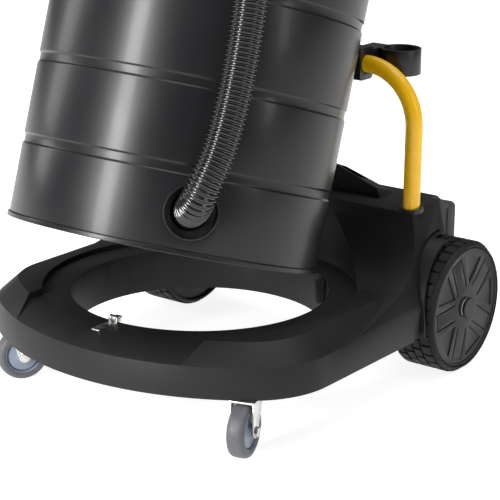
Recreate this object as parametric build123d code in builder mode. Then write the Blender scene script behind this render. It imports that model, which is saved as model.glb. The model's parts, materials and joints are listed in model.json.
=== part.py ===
"""Tipping drum dust collector on a moulded dolly.

A steel drum stands in a ring-shaped dolly with two large rear wheels and two front
casters. It is hinged on the crossbar of a yellow push bar, and is modelled part of the
way through its tipping travel. A motor head with a filter closes the drum.

Millimetres, +Z up, floor at Z = 0, front of the machine towards -Y.
"""

import os
from math import acos, asin, atan2, cos, degrees, radians, sin, sqrt, tan

from build123d import *

os.makedirs("parts", exist_ok=True)

# ---------------------------------------------------------------- driving dimensions
run_gap = 0.05          # radial clearance of a shaft in its hole
body_gap = 0.3          # gap between pieces that move apart

# drum
drum_r = 218.0
drum_h = 580.0
sheet = 1.5             # thickness of the drum's steel
rib_heights = tuple(drum_h * share / 580 for share in (110.0, 223.0, 347.0, 470.0))
rib_w = 11.0
rib_depth = 2.0
chime_h = 7.0
chime_r = drum_r + 2.5
rim_h = 6.0
rim_r = drum_r + 3.0
floor_lift = 16.0       # the drum's floor stands this far above the chime's foot

# where the drum stands and hinges
ring_y = -39.0          # centre of the dolly's ring, from the part's origin
seat_z = 141.4          # ledge that the drum stands on
hinge_y = drum_r + 16.0         # crossbar, behind the ring's centre
hinge_z = 451.0
tip = 17.9              # how far the drum is tipped back at rest, degrees

# dolly
skirt_z = 80.0
skirt_draft = 5.0       # the skirt widens towards its foot, degrees
belt_z = 123.0
wing_z = 150.0
deck_z = 248.0
front_y = drum_r + 40.0         # ring centre to the front of the skirt
front_r = 381.0
corner_r = 123.0
side_x = drum_r + 60.0
hole_r = drum_r - 30.6
hole_foot_r = drum_r - 33.8
recess_r = drum_r + 10.0
shell = 6.0             # wall of the moulded dolly
wing_start_x = drum_r - 70.0
flare_y = -30.0         # the wings swell out from here towards the wheels
ramp_y = drum_r - 78.0          # the ramp up to the deck starts and ends here
deck_y = drum_r + 20.0
bar_deck_y = drum_r - 2.0      # the ramp's top, in front of the push bar's feet
bar_deck_z = 243.0
deck_back_y = drum_r + 94.0
housing_back_y = drum_r + 127.0
fender_back_y = drum_r + 39.0
shoulder_x = drum_r + 3.0
shoulder_y = drum_r + 77.0

# latch plate, sunk in the ledge
latch_y = 10.0 - drum_r
plate_l = 42.0
plate_w = 15.0
plate_t = 2.0

# rear wheels
axle_y = drum_r + 52.0
wheel_r = 99.3
wheel_in_x = drum_r - 4.7
wheel_w = 78.0
axle_r = 10.0
arch_r = wheel_r + 5.0
lip_x = side_x + 6.0      # the arches' lips stand out to here
lip_t = 3.5             # wall of the lip, and width of the channel beside it
channel_depth = 7.0
hub_r = 90.0
cap_r = 15.0
cap_h = 4.0

# casters
swivel_x = drum_r
swivel_y = 47.0 - drum_r
trail = 16.0
caster_r = 37.5
caster_w = 25.0
caster_hub_r = 27.0
caster_top_z = 90.0     # underside of the dolly's caster pad
caster_yaw = {"left": 59.0, "right": -74.0}
caster_axle_r = 4.0
race_r = 10.0
stem_r = 6.0
stem_h = 22.0

# push bar
bar_r = 12.7
bar_wall = 2.0
bar_x = drum_r - 7.0
bar_bend_r = 84.0
bar_foot_z = 214.0

# drain hose, in the drum's own directions
port_angle = -44.7
port_h = 57.0
hose_r = 23.0
hose_bore_r = hose_r - 3.0
cup_r = hose_r + 13.5
cup_depth = 18.0
socket_depth = 18.0

# head
head_r = drum_r + 8.0
head_wall = 4.0
collar_top = drum_h + 62.0
cover_top = drum_h + 168.0
cover_top_r = 150.0
gasket_t = 3.0
motor_r = 62.0
shaft_r = 6.0


# ---------------------------------------------------------------- planes
dolly = Plane(origin=(0, ring_y, 0))

seated_drop = hinge_z - seat_z - body_gap
drum_y = hinge_y - hinge_y * cos(radians(tip)) - seated_drop * sin(radians(tip))
drum_z = hinge_z + hinge_y * sin(radians(tip)) - seated_drop * cos(radians(tip))
drum = Plane(
    origin=(0, ring_y + drum_y, drum_z),
    x_dir=(1, 0, 0),
    z_dir=(0, sin(radians(tip)), cos(radians(tip))),
)
drum_axis = Axis(drum.origin, drum.z_dir)
drum_section = Plane(origin=drum.origin, x_dir=drum.x_dir, z_dir=-drum.y_dir)
bar_v = hinge_y         # crossbar in the drum's own directions
bar_h = seated_drop


def side(x):
    """A plane across the machine at x: its own x runs back from the ring, its y up."""
    return Plane(origin=(x, ring_y, 0), x_dir=(0, 1, 0), z_dir=(1, 0, 0))


def front(y):
    """A plane facing the front, y behind the ring's centre: its own y runs up."""
    return Plane(origin=(0, ring_y + y, 0), x_dir=(1, 0, 0), z_dir=(0, -1, 0))


def drum_point(angle, height, radius):
    """A point given by its angle round the drum, height up it and radius."""
    turn = radians(angle)
    return drum.from_local_coords((radius * cos(turn), radius * sin(turn), height))


def on_drum(angle, height, radius):
    """A plane that looks out of the drum's side: its y runs up the drum."""
    out = drum_point(angle, height, radius + 1) - drum_point(angle, height, radius)
    return Plane(
        origin=drum_point(angle, height, radius), x_dir=drum.z_dir.cross(out), z_dir=out
    )


def write(piece, name):
    """Labels a finished piece and writes its STEP file."""
    piece.part.label = name
    export_step(piece.part, f"parts/{name}.step")


# ---------------------------------------------------------------- dolly
front_centre_y = front_r - front_y
corner_x = side_x - corner_r
corner_y = front_centre_y - sqrt((front_r - corner_r) ** 2 - corner_x**2)
corner_turn = asin(corner_x / (front_r - corner_r))
corner_start = (front_r * sin(corner_turn), front_centre_y - front_r * cos(corner_turn))
mid_turn = (corner_turn + radians(90)) / 2
corner_mid = (corner_x + corner_r * sin(mid_turn), corner_y - corner_r * cos(mid_turn))

with BuildSketch() as skirt_plan:
    with BuildLine():
        ThreePointArc((-corner_start[0], corner_start[1]), (0, -front_y), corner_start)
        ThreePointArc(corner_start, corner_mid, (side_x, corner_y))
        Polyline(
            (side_x, corner_y),
            (side_x, fender_back_y),
            (shoulder_x, shoulder_y),
            (wheel_in_x - shell, shoulder_y),
            (wheel_in_x - shell, housing_back_y),
            (shell - wheel_in_x, housing_back_y),
            (shell - wheel_in_x, shoulder_y),
            (-shoulder_x, shoulder_y),
            (-side_x, fender_back_y),
            (-side_x, corner_y),
        )
        ThreePointArc(
            (-side_x, corner_y),
            (-corner_mid[0], corner_mid[1]),
            (-corner_start[0], corner_start[1]),
        )
    make_face()

with BuildSketch() as front_plan:
    with BuildLine():
        ThreePointArc((-corner_start[0], corner_start[1]), (0, -front_y), corner_start)
        ThreePointArc(corner_start, corner_mid, (side_x, corner_y))
        Polyline((side_x, corner_y), (side_x, ramp_y), (-side_x, ramp_y), (-side_x, corner_y))
        ThreePointArc(
            (-side_x, corner_y),
            (-corner_mid[0], corner_mid[1]),
            (-corner_start[0], corner_start[1]),
        )
    make_face()

apron_taper = 60.0
wing_taper = 48.0
with BuildPart() as wings:
    with BuildSketch(dolly.offset(belt_z)):
        add(front_plan.sketch)
    extrude(amount=wing_z - belt_z, taper=wing_taper)
    with BuildSketch(dolly.offset(belt_z)):
        with Locations((side_x, 0), (-side_x, 0)):
            Rectangle(2 * (side_x - wing_start_x), 3 * front_y)
    extrude(amount=wing_z - belt_z, taper=22, mode=Mode.INTERSECT)

with BuildPart() as housing:
    with BuildSketch(dolly.offset(belt_z - 1)):
        add(skirt_plan.sketch)
    extrude(amount=deck_z - belt_z + 1)
    with BuildSketch(side(0)):
        with BuildLine():
            Polyline(
                (flare_y, belt_z - 1),
                (flare_y, belt_z),
            )
            ThreePointArc(
                (flare_y, belt_z),
                ((flare_y + ramp_y - 25) / 2, (belt_z + wing_z) / 2 - 3),
                (ramp_y - 25, wing_z),
            )
            ThreePointArc(
                (ramp_y - 25, wing_z),
                (ramp_y + 40, wing_z + 34),
                (bar_deck_y, bar_deck_z),
            )
            Polyline(
                (bar_deck_y, bar_deck_z),
                (deck_y, deck_z),
                (deck_back_y, deck_z),
                (housing_back_y, deck_z - 22),
                (housing_back_y, belt_z - 1),
                (flare_y, belt_z - 1),
            )
        make_face()
    extrude(amount=side_x, both=True, mode=Mode.INTERSECT)
    with BuildSketch(front(0)):
        with BuildLine():
            Polyline(
                (-side_x, belt_z - 1),
                (-side_x, belt_z),
                (-shoulder_x, deck_z),
                (shoulder_x, deck_z),
                (side_x, belt_z),
                (side_x, belt_z - 1),
                close=True,
            )
        make_face()
    extrude(amount=housing_back_y, both=True, mode=Mode.INTERSECT)

cavity_top = belt_z - shell
with BuildPart() as dolly_base:
    with BuildSketch(dolly.offset(belt_z)):
        add(skirt_plan.sketch)
    extrude(amount=belt_z - skirt_z, dir=(0, 0, -1))
    with BuildSketch(dolly.offset(belt_z)):
        add(front_plan.sketch)
    extrude(amount=belt_z - skirt_z, dir=(0, 0, -1), taper=-skirt_draft)
    with BuildSketch(dolly.offset(belt_z)):
        Rectangle(4 * side_x, 2 * housing_back_y)
        with Locations((0, ramp_y)):
            Rectangle(4 * side_x, 4 * housing_back_y, align=(Align.CENTER, Align.MAX), mode=Mode.SUBTRACT)
        add(skirt_plan.sketch, mode=Mode.SUBTRACT)
    extrude(amount=-belt_z, mode=Mode.SUBTRACT)
    with BuildSketch(dolly.offset(belt_z)):
        add(front_plan.sketch)
    extrude(amount=seat_z - belt_z, taper=apron_taper)
    add(wings.part)
    add(housing.part)
    # the ring: a recess for the drum's foot, and the hole through it
    with BuildSketch(dolly.offset(seat_z)):
        Circle(recess_r)
    extrude(amount=deck_z, mode=Mode.SUBTRACT)
    with BuildSketch(dolly.offset(seat_z)) as lip:
        Circle(hole_r)
    with BuildSketch(dolly.offset(skirt_z)) as foot:
        Circle(hole_foot_r)
    loft([lip.sketch.face(), foot.sketch.face()], mode=Mode.SUBTRACT)
    # hollow underside
    with BuildSketch(dolly.offset(skirt_z)):
        add(front_plan.sketch)
        offset(amount=-shell, mode=Mode.REPLACE)
        Circle(hole_r + shell, mode=Mode.SUBTRACT)
    extrude(amount=cavity_top - skirt_z, mode=Mode.SUBTRACT)
    with BuildSketch(dolly.offset(skirt_z)):
        Circle(recess_r - shell)
        Circle(hole_r + shell, mode=Mode.SUBTRACT)
    extrude(amount=seat_z - shell - skirt_z, mode=Mode.SUBTRACT)
    with BuildSketch(dolly.offset(skirt_z)):
        with Locations((0, (ramp_y + recess_r) / 2)):
            Rectangle(2 * (wheel_in_x - 26), recess_r - ramp_y + 2 * shell)
        Circle(recess_r + shell, mode=Mode.SUBTRACT)
    extrude(amount=wing_z - 2 * shell - skirt_z, mode=Mode.SUBTRACT)
    with BuildSketch(dolly.offset(skirt_z)):
        with Locations((0, (recess_r + shell + housing_back_y - shell) / 2)):
            Rectangle(2 * (wheel_in_x - 26), housing_back_y - recess_r - 2 * shell)
    extrude(amount=deck_z - shell - 14 - skirt_z, mode=Mode.SUBTRACT)
    # wheel arches
    for turn in (1, -1):
        with BuildSketch(side(turn * (wheel_in_x - shell))):
            with Locations((axle_y, wheel_r)):
                Circle(arch_r)
        extrude(amount=turn * side_x, mode=Mode.SUBTRACT)
        with BuildSketch(side(turn * (wheel_in_x - shell))):
            with Locations((axle_y + arch_r / 2, wheel_r - arch_r / 2)):
                Rectangle(arch_r, arch_r)
        extrude(amount=turn * side_x, mode=Mode.SUBTRACT)
        # a channel along the arch, and the lip that it leaves
        with BuildPart(mode=Mode.PRIVATE) as channel:
            with BuildSketch(side(turn * (wheel_in_x - shell))):
                with Locations((axle_y, wheel_r)):
                    Circle(arch_r + 2 * lip_t)
                    Circle(arch_r + lip_t, mode=Mode.SUBTRACT)
            extrude(amount=turn * side_x)
            with BuildSketch(front(axle_y)):
                with BuildLine():
                    Polyline(
                        (turn * (side_x - channel_depth), 0),
                        (turn * (side_x - channel_depth), belt_z),
                        (turn * (shoulder_x - channel_depth), deck_z),
                        (turn * 2 * side_x, deck_z),
                        (turn * 2 * side_x, 0),
                        close=True,
                    )
                make_face()
            extrude(amount=2 * arch_r, mode=Mode.INTERSECT)
        add(channel.part, mode=Mode.SUBTRACT)
        with BuildPart(mode=Mode.PRIVATE) as lip_band:
            with BuildSketch(side(turn * (wheel_in_x - shell))):
                with Locations((axle_y, wheel_r)):
                    Circle(arch_r + lip_t)
                    Circle(arch_r, mode=Mode.SUBTRACT)
            extrude(amount=turn * side_x)
            with BuildSketch(front(axle_y - 20)):
                with BuildLine():
                    Polyline(
                        (0, skirt_z),
                        (turn * lip_x, skirt_z),
                        (turn * lip_x, wheel_r),
                        (turn * (lip_x - 18), wheel_r + arch_r),
                        (0, wheel_r + arch_r),
                        close=True,
                    )
                make_face()
            extrude(amount=2 * arch_r, mode=Mode.INTERSECT)
        add(lip_band.part)
    # caster pads
    with BuildSketch(dolly.offset(caster_top_z)):
        with Locations((swivel_x, swivel_y), (-swivel_x, swivel_y)):
            Circle(44)
        add(front_plan.sketch, mode=Mode.INTERSECT)
        Circle(hole_r + shell, mode=Mode.SUBTRACT)
    extrude(amount=cavity_top - caster_top_z)
    with BuildSketch(dolly.offset(skirt_z)):
        with Locations((swivel_x, swivel_y), (-swivel_x, swivel_y)):
            Circle(race_r + 1)
    extrude(amount=caster_top_z - skirt_z, mode=Mode.SUBTRACT)
    with BuildSketch(dolly.offset(caster_top_z)):
        with Locations((swivel_x, swivel_y), (-swivel_x, swivel_y)):
            Circle(stem_r)
    extrude(amount=stem_h, mode=Mode.SUBTRACT)
    # axle bearings, bar sockets and the latch's pocket
    with BuildSketch(side(0)):
        with Locations((axle_y, wheel_r)):
            Circle(axle_r + run_gap)
    extrude(amount=side_x, both=True, mode=Mode.SUBTRACT)
    with BuildSketch(dolly.offset(bar_foot_z)):
        with Locations((bar_x, hinge_y), (-bar_x, hinge_y)):
            Circle(bar_r + run_gap)
    extrude(amount=deck_z, mode=Mode.SUBTRACT)
    with BuildSketch(dolly.offset(seat_z - plate_t)):
        with Locations((0, latch_y)):
            RectangleRounded(plate_w, plate_l, 3)
    extrude(amount=plate_t, mode=Mode.SUBTRACT)
write(dolly_base, "dolly_base")


# ---------------------------------------------------------------- caddy and rear step
caddy_half = 148.0
caddy_top_half = 62.0
caddy_shoulder_z = 262.0
caddy_top_z = 290.0
caddy_front_y = deck_y + 8
caddy_back_y = caddy_front_y + 36
caddy_fall = 14.0       # the caddy's top falls this much to the back
caddy_wall = 4.0
pocket_half = 24.0
with BuildPart() as tool_caddy:
    for back, fall in ((caddy_front_y, 0), (caddy_back_y, caddy_fall)):
        with BuildSketch(front(back)):
            with BuildLine():
                Polyline(
                    (-caddy_half, deck_z),
                    (-caddy_half + 6, max(caddy_shoulder_z - fall, deck_z + 4)),
                    (-caddy_top_half, caddy_top_z - fall),
                    (caddy_top_half, caddy_top_z - fall),
                    (caddy_half - 6, max(caddy_shoulder_z - fall, deck_z + 4)),
                    (caddy_half, deck_z),
                    close=True,
                )
            make_face()
    loft()
    with BuildSketch(dolly.offset(deck_z + caddy_wall)):
        with Locations(
            *((x, (caddy_front_y + caddy_back_y) / 2) for x in (-84, -28, 28, 84))
        ):
            RectangleRounded(
                2 * pocket_half, caddy_back_y - caddy_front_y - 2 * caddy_wall, 6
            )
    extrude(amount=caddy_top_z, mode=Mode.SUBTRACT)
write(tool_caddy, "tool_caddy")

step_half = 208.0
step_t = 27.0
step_z = (160.0, deck_z - 22)
rib_count = 26
with BuildPart() as rear_step:
    with BuildSketch(front(housing_back_y)):
        with Locations((0, sum(step_z) / 2)):
            RectangleRounded(2 * step_half, step_z[1] - step_z[0], 8)
    extrude(amount=-step_t + 5)
    with BuildSketch(front(housing_back_y + step_t - 5)):
        with Locations((0, sum(step_z) / 2)):
            with GridLocations(2 * step_half / rib_count, 0, rib_count, 1):
                Rectangle(8, step_z[1] - step_z[0] - 12)
    extrude(amount=-5)
write(rear_step, "rear_step")

# ---------------------------------------------------------------- push bar
bar_route = FilletPolyline(
    *(
        (x, ring_y + hinge_y, z)
        for x, z in (
            (-bar_x, bar_foot_z),
            (-bar_x, hinge_z),
            (bar_x, hinge_z),
            (bar_x, bar_foot_z),
        )
    ),
    radius=bar_bend_r,
)
with BuildPart() as push_bar:
    with BuildSketch(Plane(origin=bar_route @ 0, z_dir=bar_route % 0)):
        Circle(bar_r)
        Circle(bar_r - bar_wall, mode=Mode.SUBTRACT)
    sweep(path=bar_route)
write(push_bar, "push_bar")

# ---------------------------------------------------------------- wand holder
holder_x = 111.0
holder_w = 30.0
holder_wall = 4.0
wand_r = 26.0
wand_y = hinge_y + 52
wand_x = holder_x + 41
wand_h = 38.0
with BuildPart() as wand_holder:
    with BuildSketch(dolly.offset(hinge_z - wand_h / 2)):
        with Locations((wand_x, wand_y)):
            Circle(wand_r + holder_wall)
        with Locations((holder_x, hinge_y)):
            Rectangle(holder_w, wand_y - hinge_y + 10, align=(Align.CENTER, Align.MIN))
    extrude(amount=wand_h)
    with BuildSketch(side(holder_x)):
        with Locations((hinge_y, hinge_z)):
            RectangleRounded(2 * (bar_r + holder_wall), 48, 6)
    extrude(amount=holder_w / 2, both=True)
    with BuildSketch(side(holder_x)):
        with Locations((hinge_y, hinge_z)):
            Circle(bar_r)
    extrude(amount=holder_w, both=True, mode=Mode.SUBTRACT)
    with BuildSketch(dolly.offset(hinge_z - wand_h)):
        with Locations((wand_x, wand_y)):
            Circle(wand_r)
    extrude(amount=2 * wand_h, mode=Mode.SUBTRACT)
write(wand_holder, "wand_holder")

# ---------------------------------------------------------------- latch on the ledge
latch_screw_out = 14.0
knuckle_r = 4.5
pin_r = 1.6
knuckle_y = latch_y + 20
knuckle_z = seat_z + knuckle_r
with BuildPart() as latch_plate:
    with BuildSketch(dolly.offset(seat_z - plate_t)):
        with Locations((0, latch_y)):
            RectangleRounded(plate_w, plate_l, 3)
        with Locations((0, latch_y - latch_screw_out)):
            Circle(2.0, mode=Mode.SUBTRACT)
    extrude(amount=plate_t)
    with BuildSketch(dolly.offset(seat_z)):
        with Locations((0, latch_y - latch_screw_out)):
            Circle(4)
    extrude(amount=-plate_t / 2, mode=Mode.SUBTRACT)
    with BuildSketch(side(0)):
        with Locations((knuckle_y, knuckle_z)):
            Circle(knuckle_r)
        with Locations((knuckle_y, seat_z + knuckle_r / 2)):
            Rectangle(2 * knuckle_r, knuckle_r)
    extrude(amount=plate_w / 2, both=True)
    with BuildSketch(side(0)):
        with Locations((knuckle_y, knuckle_z)):
            Circle(pin_r)
    extrude(amount=plate_w, both=True, mode=Mode.SUBTRACT)
    with BuildSketch(dolly.offset(seat_z)):
        with Locations((0, knuckle_y)):
            Rectangle(plate_w - 7, 4 * knuckle_r)
    extrude(amount=4 * knuckle_r, mode=Mode.SUBTRACT)
write(latch_plate, "latch_plate")

with BuildPart() as latch_pin:
    with BuildSketch(side(-plate_w / 2 - 1)):
        with Locations((knuckle_y, knuckle_z)):
            Circle(pin_r)
    extrude(amount=plate_w + 2)
write(latch_pin, "latch_pin")

with BuildPart() as latch_hook:
    with BuildSketch(side(0)):
        with BuildLine():
            Polyline(
                (knuckle_y - 3.4, knuckle_z - 2),
                (knuckle_y - 3.4, knuckle_z + 3.4),
                (knuckle_y + 4, knuckle_z + 3.4),
                (knuckle_y + 12, knuckle_z + 1),
                (knuckle_y + 12, knuckle_z - 2),
                close=True,
            )
        make_face()
        with Locations((knuckle_y, knuckle_z)):
            Circle(3.6)
            Circle(pin_r + run_gap, mode=Mode.SUBTRACT)
    extrude(amount=plate_w / 2 - 3.5 - body_gap, both=True)
write(latch_hook, "latch_hook")

with BuildPart() as latch_screw:
    with BuildSketch(dolly.offset(seat_z)):
        with Locations((0, latch_y - latch_screw_out)):
            Circle(4)
    extrude(amount=-plate_t / 2)
    with BuildSketch(dolly.offset(seat_z)):
        with Locations((0, latch_y - latch_screw_out)):
            Circle(2.0)
    extrude(amount=-plate_t)
write(latch_screw, "latch_screw")

# bracket on the ring's inner wall
bracket_turn = 50.0
bracket_h = 34.0
bracket_t = 3.0
bracket_wall_r = hole_r - (hole_r - hole_foot_r) * bracket_h / (seat_z - skirt_z)
with BuildPart() as ring_bracket:
    with BuildSketch(dolly.offset(seat_z - bracket_h)):
        with PolarLocations(bracket_wall_r - bracket_t / 2 - 0.5, 1, start_angle=bracket_turn):
            Rectangle(bracket_t, 24)
        with PolarLocations(bracket_wall_r - 7, 2, start_angle=bracket_turn - 3, angular_range=6):
            Rectangle(10, 2)
    extrude(amount=bracket_h)
write(ring_bracket, "ring_bracket")

# ---------------------------------------------------------------- casters
fork_gap = 2.5          # wheel to fork, each side
fork_t = 2.5
crown_top = skirt_z - 0.5
kingpin_r = 5.0
kingpin_head_t = 2.0

for name, turn in (("left", -1), ("right", 1)):
    post = Plane(
        origin=(turn * swivel_x, ring_y + swivel_y, 0),
        x_dir=(cos(radians(caster_yaw[name])), sin(radians(caster_yaw[name])), 0),
    )
    across = Plane(origin=post.origin, x_dir=post.x_dir, z_dir=-post.y_dir)
    half = caster_w / 2 + fork_gap

    with BuildPart() as caster_stem:
        with BuildSketch(post.offset(crown_top - fork_t)):
            Circle(kingpin_r)
        extrude(amount=fork_t + body_gap)
        with BuildSketch(post.offset(crown_top - fork_t)):
            Circle(kingpin_r)
        extrude(amount=-body_gap)
        with BuildSketch(post.offset(crown_top - fork_t - body_gap)):
            Circle(kingpin_r + 2)
        extrude(amount=-kingpin_head_t)
        with BuildSketch(post.offset(crown_top + body_gap)):
            Circle(race_r)
        extrude(amount=caster_top_z - crown_top - body_gap)
        with BuildSketch(post.offset(caster_top_z)):
            Circle(stem_r)
        extrude(amount=stem_h)
        chamfer(caster_stem.edges().group_by(Axis.Z)[-1], 1.5)
    write(caster_stem, f"caster_stem_{name}")

    with BuildPart() as caster_fork:
        with BuildSketch(post.offset(crown_top - fork_t)):
            Circle(race_r + 4)
            with Locations((trail / 2, 0)):
                Rectangle(trail + 16, 2 * (half + fork_t))
            Circle(kingpin_r + run_gap, mode=Mode.SUBTRACT)
        extrude(amount=fork_t)
        for out in (1, -1):
            with BuildSketch(across.offset(out * half)):
                with BuildLine():
                    Polyline(
                        (-8, crown_top),
                        (trail + 8, crown_top),
                        (trail + 9, caster_r),
                        (trail - 9, caster_r),
                        close=True,
                    )
                make_face()
                with Locations((trail, caster_r)):
                    Circle(9)
                    Circle(caster_axle_r, mode=Mode.SUBTRACT)
            extrude(amount=out * fork_t)
    write(caster_fork, f"caster_fork_{name}")

    with BuildPart() as caster_axle:
        with BuildSketch(across.offset(-half - fork_t - 4)):
            with Locations((trail, caster_r)):
                Circle(caster_axle_r)
        extrude(amount=2 * (half + fork_t) + 8)
        with BuildSketch(across.offset(half + fork_t)):
            with Locations((trail, caster_r)):
                RegularPolygon(7, 6)
        extrude(amount=4)
        with BuildSketch(across.offset(-half - fork_t)):
            with Locations((trail, caster_r)):
                RegularPolygon(7, 6)
        extrude(amount=-4)
    write(caster_axle, f"caster_axle_{name}")

    with BuildPart() as caster_hub:
        with BuildSketch(across.offset(-caster_w / 2 + 3)):
            with Locations((trail, caster_r)):
                Circle(caster_hub_r)
        extrude(amount=caster_w - 6)
        with BuildSketch(across.offset(-caster_w / 2 - 1.5)):
            with Locations((trail, caster_r)):
                Circle(9)
        extrude(amount=caster_w + 3)
        with BuildSketch(across):
            with Locations((trail, caster_r)):
                Circle(caster_axle_r + run_gap)
        extrude(amount=caster_w, both=True, mode=Mode.SUBTRACT)
    write(caster_hub, f"caster_hub_{name}")

    with BuildPart() as caster_tyre:
        with BuildSketch(across.offset(-caster_w / 2)):
            with Locations((trail, caster_r)):
                Circle(caster_r)
                Circle(caster_hub_r, mode=Mode.SUBTRACT)
        extrude(amount=caster_w)
        fillet(
            caster_tyre.edges().filter_by(GeomType.CIRCLE).sort_by(SortBy.RADIUS)[-2:], 5
        )
    write(caster_tyre, f"caster_tyre_{name}")

# ---------------------------------------------------------------- rear wheels
with BuildPart() as rear_axle:
    with BuildSketch(side(0)):
        with Locations((axle_y, wheel_r)):
            Circle(axle_r)
    extrude(amount=wheel_in_x + wheel_w + body_gap, both=True)
write(rear_axle, "rear_axle")

spoke_t = 2.5
groove = 3.0
bush_r = 14.0
for name, turn in (("left", -1), ("right", 1)):
    inner = turn * wheel_in_x
    outer = turn * (wheel_in_x + wheel_w)

    with BuildPart() as rear_tyre:
        with BuildSketch(side(inner)):
            with Locations((axle_y, wheel_r)):
                Circle(wheel_r)
                Circle(hub_r, mode=Mode.SUBTRACT)
        extrude(amount=turn * wheel_w)
        fillet(
            rear_tyre.edges().filter_by(GeomType.CIRCLE).sort_by(SortBy.RADIUS)[-2:], 7
        )
    write(rear_tyre, f"rear_tyre_{name}")

    with BuildPart() as rear_hub:
        with BuildSketch(side(inner + turn * 6)):
            with Locations((axle_y, wheel_r)):
                Circle(hub_r)
        extrude(amount=turn * (wheel_w - 6 - 2 * spoke_t))
        with BuildSketch(side(outer - turn * 2 * spoke_t)):
            with Locations((axle_y, wheel_r)):
                Circle(hub_r)
                with PolarLocations(hub_r / 2 + 11, 5, start_angle=112):
                    with GridLocations(0, 24, 1, 2):
                        Rectangle(hub_r - 38, groove, mode=Mode.SUBTRACT)
        extrude(amount=turn * spoke_t)
        with BuildSketch(side(outer - turn * spoke_t)):
            with Locations((axle_y, wheel_r)):
                Circle(30)
        extrude(amount=turn * spoke_t)
        with BuildSketch(side(inner)):
            with Locations((axle_y, wheel_r)):
                Circle(24)
                Circle(bush_r, mode=Mode.SUBTRACT)
        extrude(amount=turn * 6)
        with BuildSketch(side(inner)):
            with Locations((axle_y, wheel_r)):
                Circle(bush_r)
        extrude(amount=turn * wheel_w, mode=Mode.SUBTRACT)
    write(rear_hub, f"rear_hub_{name}")

    with BuildPart() as wheel_bush:
        with BuildSketch(side(inner)):
            with Locations((axle_y, wheel_r)):
                Circle(bush_r)
                Circle(axle_r + run_gap, mode=Mode.SUBTRACT)
        extrude(amount=turn * wheel_w)
    write(wheel_bush, f"wheel_bush_{name}")

    with BuildPart() as wheel_cap:
        with BuildSketch(side(outer + turn * body_gap)):
            with Locations((axle_y, wheel_r)):
                Circle(cap_r)
        extrude(amount=turn * cap_h)
        fillet(
            wheel_cap.edges().filter_by(GeomType.CIRCLE).sort_by(Axis.X)[-1 if turn > 0 else 0],
            2,
        )
    write(wheel_cap, f"wheel_cap_{name}")

# ---------------------------------------------------------------- drum
def swaged(radius):
    """The drum's wall from rim to chime, at this radius, with its inward swages."""
    points = [(radius, drum_h - rim_h)]
    for height in reversed(rib_heights):
        points += [
            (radius, height + rib_w / 2 + rib_depth),
            (radius - rib_depth, height + rib_w / 2),
            (radius - rib_depth, height - rib_w / 2),
            (radius, height - rib_w / 2 - rib_depth),
        ]
    return points + [(radius, chime_h)]


inlet_angle = -90.0
inlet_h = drum_h - 70.0
inlet_r = 28.0
inlet_wall = 3.0
inlet_flange_r = 46.0
inlet_reach = 46.0

with BuildPart() as drum_shell:
    with BuildSketch(drum_section):
        with BuildLine():
            Polyline(*swaged(drum_r), *reversed(swaged(drum_r - sheet)), close=True)
        make_face()
    revolve(axis=drum_axis)
    with BuildSketch(on_drum(port_angle, port_h, drum_r - 2 * cup_r)):
        Circle(cup_r + run_gap)
    extrude(amount=3 * cup_r, mode=Mode.SUBTRACT)
    with BuildSketch(on_drum(inlet_angle, inlet_h, drum_r - 2 * cup_r)):
        Circle(inlet_r + inlet_wall + run_gap)
    extrude(amount=3 * cup_r, mode=Mode.SUBTRACT)
write(drum_shell, "drum_shell")

loop_y = knuckle_y + 22
with BuildPart() as drum_floor:
    with BuildSketch(drum_section):
        with BuildLine():
            Polyline(
                (0, floor_lift),
                (drum_r - 2 * sheet, floor_lift),
                (drum_r - 2 * sheet, 0),
                (drum_r - sheet, 0),
                (drum_r - sheet, floor_lift + sheet),
                (0, floor_lift + sheet),
                close=True,
            )
        make_face()
    revolve(axis=drum_axis)
    # the loop that the latch hook catches when the drum is down
    with BuildSketch(drum.offset(floor_lift)):
        with Locations((-9, loop_y), (9, loop_y)):
            Rectangle(3, 8)
    extrude(amount=-6)
    with BuildSketch(drum.offset(floor_lift - 6)):
        with Locations((0, loop_y)):
            Rectangle(21, 8)
    extrude(amount=-2)
write(drum_floor, "drum_floor")

with BuildPart() as drum_chime:
    with BuildSketch(drum_section):
        with Locations(((drum_r - sheet + chime_r) / 2, chime_h / 2)):
            RectangleRounded(chime_r - drum_r + sheet, chime_h, 1.4)
    revolve(axis=drum_axis)
write(drum_chime, "drum_chime")

with BuildPart() as drum_rim:
    with BuildSketch(drum_section):
        with Locations(((drum_r - sheet + rim_r) / 2, drum_h - rim_h / 2)):
            RectangleRounded(rim_r - drum_r + sheet, rim_h, 1.8)
    revolve(axis=drum_axis)
write(drum_rim, "drum_rim")

# ---------------------------------------------------------------- drain port and hose
port_face = on_drum(port_angle, port_h, drum_r)
port_axis = Axis(port_face.origin, port_face.z_dir)
port_section = Plane(
    origin=port_face.origin, x_dir=port_face.x_dir, z_dir=-port_face.y_dir
)
cup_wall = 2.0
lip_h = 1.5
socket_wall = 2.5
hose_fit = 0.15
with BuildPart() as drain_cup:
    with BuildSketch(port_section):
        with BuildLine():
            Polyline(
                (cup_r, lip_h),
                (cup_r, -cup_depth),
                (hose_r + hose_fit + socket_wall, -cup_depth),
                (hose_r + hose_fit + socket_wall, -cup_depth - socket_depth),
                (hose_r + hose_fit, -cup_depth - socket_depth),
                (hose_r + hose_fit, -cup_depth - socket_depth / 4),
                (hose_r + hose_fit + socket_wall - 0.3, -cup_depth + cup_wall),
                (cup_r - cup_wall, -cup_depth + cup_wall),
                (cup_r - cup_wall, lip_h),
                close=True,
            )
        make_face()
    revolve(axis=port_axis)
write(drain_cup, "drain_cup")

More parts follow.
